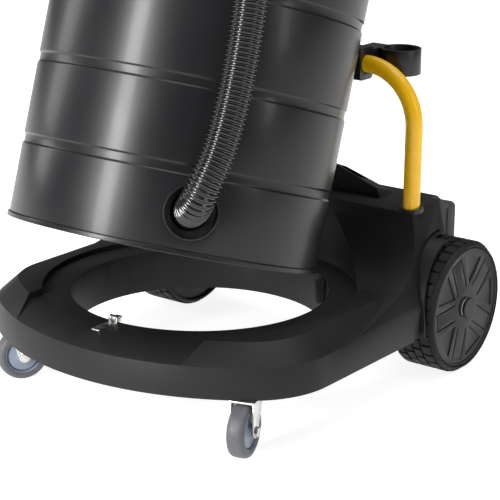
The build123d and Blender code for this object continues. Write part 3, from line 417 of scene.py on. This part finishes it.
def put(piece, place):
    """Moves a piece's mesh to its place and leaves its object at the origin."""
    only(piece)
    piece.matrix_world = place
    bpy.ops.object.transform_apply(location=True, rotation=True, scale=True)
    return piece


def lathe(name, outline, sides=96):
    """Turns a closed outline of (radius, height) points about Z, by extruding a ring."""
    clear_selection()
    radius, height = outline[0]
    bpy.ops.mesh.primitive_circle_add(vertices=sides, radius=radius)
    piece = added(name)
    bpy.ops.object.mode_set(mode="EDIT")
    bpy.ops.mesh.select_all(action="SELECT")
    bpy.ops.transform.translate(value=(0, 0, height))
    for next_radius, next_height in outline[1:]:
        bpy.ops.mesh.extrude_region_move(
            TRANSFORM_OT_translate={"value": (0, 0, next_height - height)}
        )
        if next_radius != radius:
            grow = next_radius / radius
            bpy.ops.transform.resize(
                value=(grow, grow, 1), center_override=(0, 0, next_height)
            )
        radius, height = next_radius, next_height
    bpy.ops.mesh.select_all(action="SELECT")
    bpy.ops.mesh.remove_doubles(threshold=0.000005)
    bpy.ops.mesh.normals_make_consistent(inside=False)
    bpy.ops.object.mode_set(mode="OBJECT")
    return piece


def mirrored(half, middle=()):
    """A closed outline from the (radius, height) points of its upper half, inside to outside."""
    lower = [(radius, -height) for radius, height in half]
    return [*lower, *middle, *reversed(half), lower[0]]


def block(name, size, centre):
    """A box of a size, ready to be rounded or cut."""
    clear_selection()
    bpy.ops.mesh.primitive_cube_add(size=1)
    piece = added(name)
    bpy.ops.object.mode_set(mode="EDIT")
    bpy.ops.mesh.select_all(action="SELECT")
    bpy.ops.transform.resize(value=size, center_override=(0, 0, 0))
    bpy.ops.transform.translate(value=centre)
    bpy.ops.object.mode_set(mode="OBJECT")
    return piece


def copied(piece, place, name):
    """A copy with its own mesh, moved to a place."""
    only(piece)
    bpy.ops.object.duplicate(linked=False)
    copy = added(name)
    return put(copy, place)


def joined(pieces, name):
    """Joins pieces into one."""
    only(pieces[0])
    for piece in pieces:
        piece.select_set(True)
    if len(pieces) > 1:
        bpy.ops.object.join()
    return added(name)


def cut(piece, cutter):
    """Takes the cutter out of the piece, and removes the cutter."""
    boolean = piece.modifiers.new("Cut", "BOOLEAN")
    boolean.operation = "DIFFERENCE"
    boolean.solver = "EXACT"
    boolean.object = cutter
    apply_modifiers(piece)
    bpy.data.objects.remove(cutter)
    return piece


def refined(node, slot, width=0.0008, segments=2, angle=30.0):
    """A merged and rounded copy of a CAD node, which it stands for."""
    source = frame["nodes"][node]
    only(source)
    bpy.ops.object.duplicate(linked=False)
    piece = added(node + "_finished")
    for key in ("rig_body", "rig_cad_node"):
        if key in piece:
            del piece[key]
    piece.parent = None
    bpy.ops.object.mode_set(mode="EDIT")
    bpy.ops.mesh.select_all(action="SELECT")
    bpy.ops.mesh.customdata_custom_splitnormals_clear()
    bpy.ops.mesh.remove_doubles(threshold=0.00001)
    bpy.ops.mesh.dissolve_limited(angle_limit=radians(0.5))
    bpy.ops.object.mode_set(mode="OBJECT")
    soften(piece, width, segments, angle)
    paint(piece, slot)
    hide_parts(node)
    bodies = frame["record"]["behaviour"]["bodies"]
    body = next(body for body, names in bodies.items() if node in names)
    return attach(piece, body)


def fit(piece, slot, body, *nodes):
    """Finishes a new piece, lets it ride on a body, and hides the nodes it stands for."""
    paint(piece, slot)
    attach(piece, body)
    if nodes:
        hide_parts(*nodes)
    return piece


# ---------------------------------------------------------------- operators
class COLLECTOR_OT_camera(bpy.types.Operator):
    """Adds the camera"""

    bl_idname = "collector.camera"
    bl_label = "Camera"

    def execute(self, context):
        eye = Vector((1.5421, -1.9717, 0.9655))
        aim = Vector((0.2028, -0.1884, 0.2735))
        back = (eye - aim).normalized()
        level = Vector((0, 0, 1)).cross(back).normalized()
        above = back.cross(level)
        lean = radians(0.4)
        right = level * cos(lean) + above * sin(lean)
        above = back.cross(right)
        clear_selection()
        bpy.ops.object.camera_add()
        camera = context.active_object
        camera.name = "camera"
        camera.matrix_world = turned_to(eye, right, above, back)
        camera.data.lens = 128.87
        camera.data.sensor_width = 36
        camera.data.clip_end = 50
        context.scene.camera = camera
        return {"FINISHED"}


class COLLECTOR_OT_drain_hose(bpy.types.Operator):
    """Makes the corrugated drain hose along its route"""

    bl_idname = "collector.drain_hose"
    bl_label = "Drain hose"

    def execute(self, context):
        sizes = context.scene.collector_sizes
        points = (
            (0.1294, -0.2270, 0.3222),
            (0.1513, -0.2477, 0.3289),
            (0.1693, -0.2583, 0.3467),
            (0.1798, -0.2549, 0.3705),
            (0.1873, -0.2333, 0.4104),
            (0.1906, -0.2055, 0.4834),
            (0.1898, -0.1804, 0.5646),
            (0.1864, -0.1595, 0.6419),
            (0.1856, -0.1411, 0.7022),
            (0.1861, -0.1276, 0.7419),
        )
        line = bpy.data.curves.new("hose_route", "CURVE")
        line.dimensions = "3D"
        line.resolution_u = 24
        spline = line.splines.new("NURBS")
        spline.points.add(len(points) - 1)
        for at, point in zip(spline.points, points):
            at.co = (*point, 1)
        spline.order_u = 3
        spline.use_endpoint_u = True
        route = bpy.data.objects.new("hose_route", line)
        context.collection.objects.link(route)

        outside = 0.023
        inside = outside - sizes.ridge_height
        pitch = sizes.ridge_pitch
        # one ridge: shares of the pitch, with the radius reached there
        ridge = (
            (0.16, inside), (0.27, inside + 0.55 * sizes.ridge_height),
            (0.40, outside - 0.0002), (0.50, outside), (0.60, outside - 0.0002),
            (0.73, inside + 0.55 * sizes.ridge_height), (0.84, inside), (1.0, inside - 0.0001),
        )
        clear_selection()
        bpy.ops.mesh.primitive_circle_add(
            vertices=40, radius=inside - 0.0001, rotation=(0, pi / 2, 0)
        )
        hose = added("drain_hose_ridged")
        bpy.ops.object.transform_apply(location=True, rotation=True, scale=True)
        bpy.ops.object.mode_set(mode="EDIT")
        bpy.ops.mesh.select_all(action="SELECT")
        bpy.ops.mesh.select_mode(type="EDGE")
        reached, radius = 0.0, inside - 0.0001
        for share, next_radius in ridge:
            bpy.ops.mesh.extrude_region_move(
                TRANSFORM_OT_translate={"value": ((share - reached) * pitch, 0, 0)}
            )
            grow = next_radius / radius
            bpy.ops.transform.resize(
                value=(1, grow, grow), center_override=(share * pitch, 0, 0)
            )
            reached, radius = share, next_radius
        bpy.ops.object.mode_set(mode="OBJECT")
        rings = hose.modifiers.new("Ridges", "ARRAY")
        rings.fit_type = "FIT_CURVE"
        rings.curve = route
        rings.use_merge_vertices = True
        rings.merge_threshold = 0.00002
        bend = hose.modifiers.new("Route", "CURVE")
        bend.object = route
        bend.deform_axis = "POS_X"
        apply_modifiers(hose)
        bpy.ops.object.mode_set(mode="EDIT")
        bpy.ops.mesh.select_all(action="SELECT")
        bpy.ops.mesh.normals_make_consistent(inside=False)
        bpy.ops.object.mode_set(mode="OBJECT")
        wall = hose.modifiers.new("Wall", "SOLIDIFY")
        wall.thickness = 0.0008
        wall.offset = -1
        apply_modifiers(hose)
        bpy.ops.object.shade_smooth()
        bpy.data.objects.remove(route)
        fit(hose, "hose_rubber", "drum", "drain_hose")
        return {"FINISHED"}


class COLLECTOR_OT_drum_skin(bpy.types.Operator):
    """Makes the drum's steel wall with its rolled swages"""

    bl_idname = "collector.drum_skin"
    bl_label = "Drum"

    def execute(self, context):
        sizes = context.scene.collector_sizes
        radius, depth, half, wall = 0.218, 0.002, 0.0055, 0.0015
        foot, top = 0.007, 0.574
        swage_heights = (0.110, 0.223, 0.347, 0.470)
        # degrees round the drum, height and radius of the drain and of the inlet
        openings = ((-44.7, 0.057, 0.0367), (-90.0, 0.510, 0.0312))
        outline = [(radius, foot)]
        for height in swage_heights:
            outline += [
                (radius, height - half - depth),
                (radius - depth, height - half),
                (radius - depth, height + half),
                (radius, height + half + depth),
            ]
        outline.append((radius, top))
        inner = [(r - wall, h) for r, h in reversed(outline)]
        skin = lathe("drum_wall", outline + inner + outline[:1], 192)
        soften(skin, sizes.swage_round, 3, 25)
        put(skin, drum_place)
        for angle, height, hole in openings:
            turn = radians(angle)
            out = drum_back * sin(turn) + Vector((1, 0, 0)) * cos(turn)
            middle = drum_foot + drum_up * height + out * radius
            clear_selection()
            bpy.ops.mesh.primitive_cylinder_add(vertices=64, radius=hole, depth=0.12)
            cutter = added("hole")
            put(cutter, turned_to(middle, drum_up.cross(out), drum_up, out))
            cut(skin, cutter)
        only(skin)
        bpy.ops.object.shade_smooth_by_angle(angle=radians(30))
        fit(skin, "drum_paint", "drum", "drum_shell")
        return {"FINISHED"}


class COLLECTOR_OT_rear_wheels(bpy.types.Operator):
    """Makes the rear wheels: spoked discs and block tread tyres"""

    bl_idname = "collector.rear_wheels"
    bl_label = "Rear wheels"

    def execute(self, context):
        sizes = context.scene.collector_sizes
        radius, width, rim = 0.0993, 0.078, 0.090
        inner_face_x = 0.2133
        ground = radius - sizes.tread_depth
        # tyre, with its own Z out of the wheel's face
        tyre = lathe(
            "tyre",
            [
                (rim, 0.003), (rim + 0.0015, 0.0008), (rim + 0.0045, 0.0014), (ground, 0.0070),
                (ground, width - 0.0070), (rim + 0.0045, width - 0.0014),
                (rim + 0.0015, width - 0.0008), (rim, width - 0.003), (rim, 0.003),
            ],
            96,
        )
        soften(tyre, 0.0008, 2, 20)
        blocks = []
        # middle and length of each row's blocks along the axle, and its shift in blocks
        rows = (
            (0.0150, 0.0150, 0.0), (0.0320, 0.0125, 0.5), (0.0465, 0.0125, 0.0),
            (0.0630, 0.0150, 0.5),
        )
        arc = 2 * pi * radius / sizes.tread_blocks
        for height, length, shift in rows:
            one = block(
                "tread", (2 * sizes.tread_depth, 0.83 * arc, length),
                (radius - sizes.tread_depth, 0, height),
            )
            only(one)
            bpy.ops.object.mode_set(mode="EDIT")
            bpy.ops.mesh.select_all(action="SELECT")
            bpy.ops.mesh.bevel(offset=0.0007, segments=1, affect="EDGES")
            bpy.ops.mesh.select_all(action="SELECT")
            bpy.ops.transform.rotate(
                value=-shift * 2 * pi / sizes.tread_blocks, orient_axis="Z",
                center_override=(0, 0, 0),
            )
            bpy.ops.mesh.spin(
                steps=sizes.tread_blocks - 1, dupli=True,
                angle=2 * pi * (sizes.tread_blocks - 1) / sizes.tread_blocks,
                center=(0, 0, 0), axis=(0, 0, 1),
            )
            bpy.ops.object.mode_set(mode="OBJECT")
            blocks.append(one)
        tyre = joined([tyre, *blocks], "tyre")

        # disc, with five spokes outlined by grooves and sunk panels between them
        face = width - 0.0025
        spokes, spoke_half, groove = 5, 0.0125, 0.0022
        groove_middle, groove_length, spoke_end = 0.0560, 0.050, 0.0795
        panel_middle, panel_radius = 0.0625, 0.0270
        disc = lathe(
            "disc",
            [
                (0.014, 0.0), (0.024, 0.0), (0.026, 0.006), (0.060, 0.010), (0.080, 0.006),
                (rim, 0.006), (rim, face - 0.0006), (rim - 0.0012, face + 0.0006),
                (rim - 0.0030, face + 0.0006), (rim - 0.0042, face - 0.0010), (0.034, face - 0.0004),
                (0.029, face + 0.0010), (0.014, face + 0.0010), (0.014, 0.0),
            ],
            96,
        )
        panels, grooves = [], []
        for spoke in range(spokes):
            # a sunk panel between this spoke and the next
            clear_selection()
            bpy.ops.mesh.primitive_cylinder_add(
                vertices=3, radius=panel_radius, depth=0.0046,
                location=(panel_middle, 0, face), rotation=(0, 0, pi / 2),
            )
            panel = added("panel")
            bpy.ops.object.transform_apply(location=True, rotation=True, scale=True)
            between = sizes.spoke_turn + (spoke + 0.5) * 2 * pi / spokes
            put(panel, Matrix.Rotation(between, 4, "Z"))
            panels.append(panel)
            turn = Matrix.Rotation(sizes.spoke_turn + spoke * 2 * pi / spokes, 4, "Z")
            outlines = (
                ((groove_length, groove, 0.006), (groove_middle, -spoke_half, face)),
                ((groove_length, groove, 0.006), (groove_middle, spoke_half, face)),
                ((0.0016, 0.0215, 0.003), (spoke_end, 0, face)),
            )
            for size, centre in outlines:
                grooves.append(put(block("groove", size, centre), turn))
        cut(disc, joined(panels, "panels"))
        cut(disc, joined(grooves, "grooves"))
        soften(disc, 0.0005, 2, 28)

        for name, side in (("left", -1), ("right", 1)):
            at = Vector(joints[f"wheel_{name}_roll"]["pos_m"])
            at.x = side * inner_face_x
            out = Vector((side, 0, 0))
            place = turned_to(at, Vector((0, side, 0)), Vector((0, 0, 1)), out)
            new_tyre = copied(tyre, place, f"rear_tyre_{name}_tread")
            fit(new_tyre, "wheel_tyre", f"wheel_{name}", f"rear_tyre_{name}")
            new_disc = copied(disc, place, f"rear_wheel_{name}_spoked")
            fit(new_disc, "wheel_plastic", f"wheel_{name}", f"rear_hub_{name}")
        bpy.data.objects.remove(tyre)
        bpy.data.objects.remove(disc)
        return {"FINISHED"}


class COLLECTOR_OT_casters(bpy.types.Operator):
    """Makes the caster wheels' discs and rounds their tyres and forks"""

    bl_idname = "collector.casters"
    bl_label = "Casters"

    def execute(self, context):
        disc = lathe(
            "disc",
            mirrored([
                (0.0041, 0.0140), (0.0085, 0.0140), (0.0092, 0.0130), (0.0096, 0.0100),
                (0.0125, 0.0088), (0.0228, 0.0092), (0.0236, 0.0062), (0.0252, 0.0062),
                (0.0258, 0.0112), (0.0270, 0.0116),
            ]),
            64,
        )
        soften(disc, 0.0004, 2, 25)
        tyre = lathe(
            "tyre",
            mirrored(
                [
                    (0.0270, 0.0118), (0.0285, 0.0124), (0.0320, 0.0125), (0.0352, 0.0110),
                    (0.0368, 0.0085), (0.0374, 0.0045),
                ],
                middle=[(0.0375, 0.0)],
            ),
            80,
        )
        only(tyre)
        bpy.ops.object.shade_smooth_by_angle(angle=radians(50))
        for name in ("left", "right"):
            joint = joints[f"caster_{name}_roll"]
            out = Vector(joint["axis"])
            place = turned_to(joint["pos_m"], Vector((0, 0, 1)).cross(out), Vector((0, 0, 1)), out)
            new_disc = copied(disc, place, f"caster_disc_{name}")
            fit(new_disc, "caster_disc", f"caster_wheel_{name}", f"caster_hub_{name}")
            new_tyre = copied(tyre, place, f"caster_tread_{name}")
            fit(new_tyre, "caster_rubber", f"caster_wheel_{name}", f"caster_tyre_{name}")
            refined(f"caster_fork_{name}", "zinc", 0.0007, 2, 30)
            refined(f"caster_axle_{name}", "zinc", 0.0005, 2, 30)
            refined(f"caster_stem_{name}", "zinc", 0.0006, 2, 30)
        bpy.data.objects.remove(tyre)
        bpy.data.objects.remove(disc)
        return {"FINISHED"}


class COLLECTOR_OT_dolly(bpy.types.Operator):
    """Rounds the moulded dolly, its caddy and step, and adds the push bar's grommets"""

    bl_idname = "collector.dolly"
    bl_label = "Dolly"

    def execute(self, context):
        refined("dolly_base", "dolly_plastic", 0.0016, 3, 32)
        refined("tool_caddy", "dolly_plastic", 0.0014, 3, 30)
        refined("rear_step", "step_pad", 0.0010, 2, 30)
        # grommets where the push bar goes into the deck, which slopes up to the back
        bar_radius, foot_y, foot_z = 0.0127, 0.195, 0.2472
        deck_back = Vector((0, 0.975, 0.22)).normalized()
        deck_up = Vector((1, 0, 0)).cross(deck_back)
        bar_low, bar_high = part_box("push_bar")
        for name, x in (("left", bar_low.x + bar_radius), ("right", bar_high.x - bar_radius)):
            grommet = lathe(
                "grommet",
                [
                    (0.0129, -0.006), (0.0175, -0.006), (0.0175, 0.0005), (0.0166, 0.0018),
                    (0.0148, 0.0024), (0.0129, 0.0016), (0.0129, -0.006),
                ],
                64,
            )
            soften(grommet, 0.0004, 2, 30)
            put(grommet, turned_to((x, foot_y, foot_z), (1, 0, 0), deck_back, deck_up))
            grommet.name = f"bar_grommet_{name}"
            fit(grommet, "black_fittings", "dolly")
        return {"FINISHED"}


class COLLECTOR_OT_fittings(bpy.types.Operator):
    """Rounds the small fittings, and gives the CAD pieces that still show their finishes"""

    bl_idname = "collector.fittings"
    bl_label = "Fittings"

    def execute(self, context):
        record = frame["record"]
        slots = {row["node"]: row["material_slot"] for row in record["subparts"]}
        # widths of the rounding along each piece's edges
        small = {
            "push_bar": 0.0004, "wand_holder": 0.0012, "drain_cup": 0.0006,
            "hose_plug": 0.0008, "hose_clip": 0.0008, "dust_inlet": 0.0008,
            "latch_plate": 0.0004, "latch_pin": 0.0003, "latch_hook": 0.0004,
            "latch_screw": 0.0003, "ring_bracket": 0.0005, "drum_screws": 0.0005,
            "hinge_saddle_left": 0.0012, "hinge_saddle_right": 0.0012,
            "hinge_cap_left": 0.0008, "hinge_cap_right": 0.0008,
            "head_base": 0.0008, "head_cover": 0.0012, "head_clamp_left": 0.0006,
            "head_clamp_right": 0.0006, "carry_handle": 0.0012, "switch_frame": 0.0006,
            "rocker": 0.0006, "cable_gland": 0.0006, "drum_chime": 0.0003,
            "drum_rim": 0.0003, "wheel_cap_left": 0.0005, "wheel_cap_right": 0.0005,
        }
        for node, width in small.items():
            refined(node, slots[node], width)
        for node, piece in frame["nodes"].items():
            if not piece.hide_render:
                piece.data.materials.clear()
                piece.data.materials.append(finishes[slots[node]])
        return {"FINISHED"}


class COLLECTOR_OT_stage(bpy.types.Operator):
    """Adds the floor, the pale surroundings and the soft lights"""

    bl_idname = "collector.stage"
    bl_label = "Stage"

    def execute(self, context):
        context.scene.view_settings.view_transform = "Standard"
        clear_selection()
        bpy.ops.mesh.primitive_plane_add(size=16)
        floor = added("floor")
        pale, nodes, links, shader, place = new_material("pale_floor")
        drift = speckle(nodes, links, place, 0.8)
        links.new(
            tint(nodes, links, drift, (0.52, 0.52, 0.52, 1), (0.56, 0.56, 0.56, 1)),
            shader.inputs["Base Color"],
        )
        shader.inputs["Roughness"].default_value = 0.9
        shader.inputs["Emission Color"].default_value = (1, 1, 1, 1)
        shader.inputs["Emission Strength"].default_value = 0.86
        floor.data.materials.append(pale)

        world = context.scene.world or bpy.data.worlds.new("studio")
        context.scene.world = world
        world.use_nodes = True
        world.node_tree.nodes["Background"].inputs["Color"].default_value = (0.94, 0.96, 1, 1)
        world.node_tree.nodes["Background"].inputs["Strength"].default_value = 0.16
        # name, place, aim, width, height and watts
        lights = (
            ("left_soft", (-0.36, -2.68, 1.15), (0.0, -0.15, 0.45), 0.52, 1.9, 105),
            ("far_left_soft", (-2.5, -0.9, 1.2), (0.0, -0.1, 0.3), 0.8, 1.6, 18),
            ("top_soft", (0.3, 0.5, 3.4), (0.1, 0.2, 0.0), 3.2, 3.2, 95),
            ("right_soft", (2.7, 0.3, 1.4), (0.1, 0.1, 0.3), 0.35, 1.8, 12),
        )
        for name, at, aim, across, tall, power in lights:
            clear_selection()
            bpy.ops.object.light_add(type="AREA")
            light = context.active_object
            light.name = name
            light.data.shape = "RECTANGLE"
            light.data.size = across
            light.data.size_y = tall
            light.data.energy = power
            back = (Vector(at) - Vector(aim)).normalized()
            right = Vector((0, 0, 1)).cross(back).normalized()
            light.matrix_world = turned_to(at, right, back.cross(right), back)
        return {"FINISHED"}


class COLLECTOR_PT_panel(bpy.types.Panel):
    """Lists the steps of the build"""

    bl_idname = "COLLECTOR_PT_panel"
    bl_label = "Drum dust collector"
    bl_space_type = "VIEW_3D"
    bl_region_type = "UI"
    bl_category = "Collector"

    def draw(self, context):
        for group in (context.scene.collector_sizes, context.scene.collector_colours):
            for name in group.bl_rna.properties.keys():
                if name not in ("rna_type", "name"):
                    self.layout.prop(group, name)
        for step in steps:
            self.layout.operator(step.bl_idname)


steps = (
    COLLECTOR_OT_camera,
    COLLECTOR_OT_drain_hose,
    COLLECTOR_OT_drum_skin,
    COLLECTOR_OT_rear_wheels,
    COLLECTOR_OT_casters,
    COLLECTOR_OT_dolly,
    COLLECTOR_OT_fittings,
    COLLECTOR_OT_stage,
)
classes = (CollectorSizes, CollectorColours, *steps, COLLECTOR_PT_panel)


def register():
    for each in classes:
        bpy.utils.register_class(each)
    bpy.types.Scene.collector_sizes = PointerProperty(type=CollectorSizes)
    bpy.types.Scene.collector_colours = PointerProperty(type=CollectorColours)


def unregister():
    del bpy.types.Scene.collector_colours
    del bpy.types.Scene.collector_sizes
    for each in reversed(classes):
        bpy.utils.unregister_class(each)


def main():
    register()
    make_finishes()
    for step in steps:
        group, name = step.bl_idname.split(".")
        getattr(getattr(bpy.ops, group), name)()
    clear_selection()


if __name__ == "__main__":
    main()
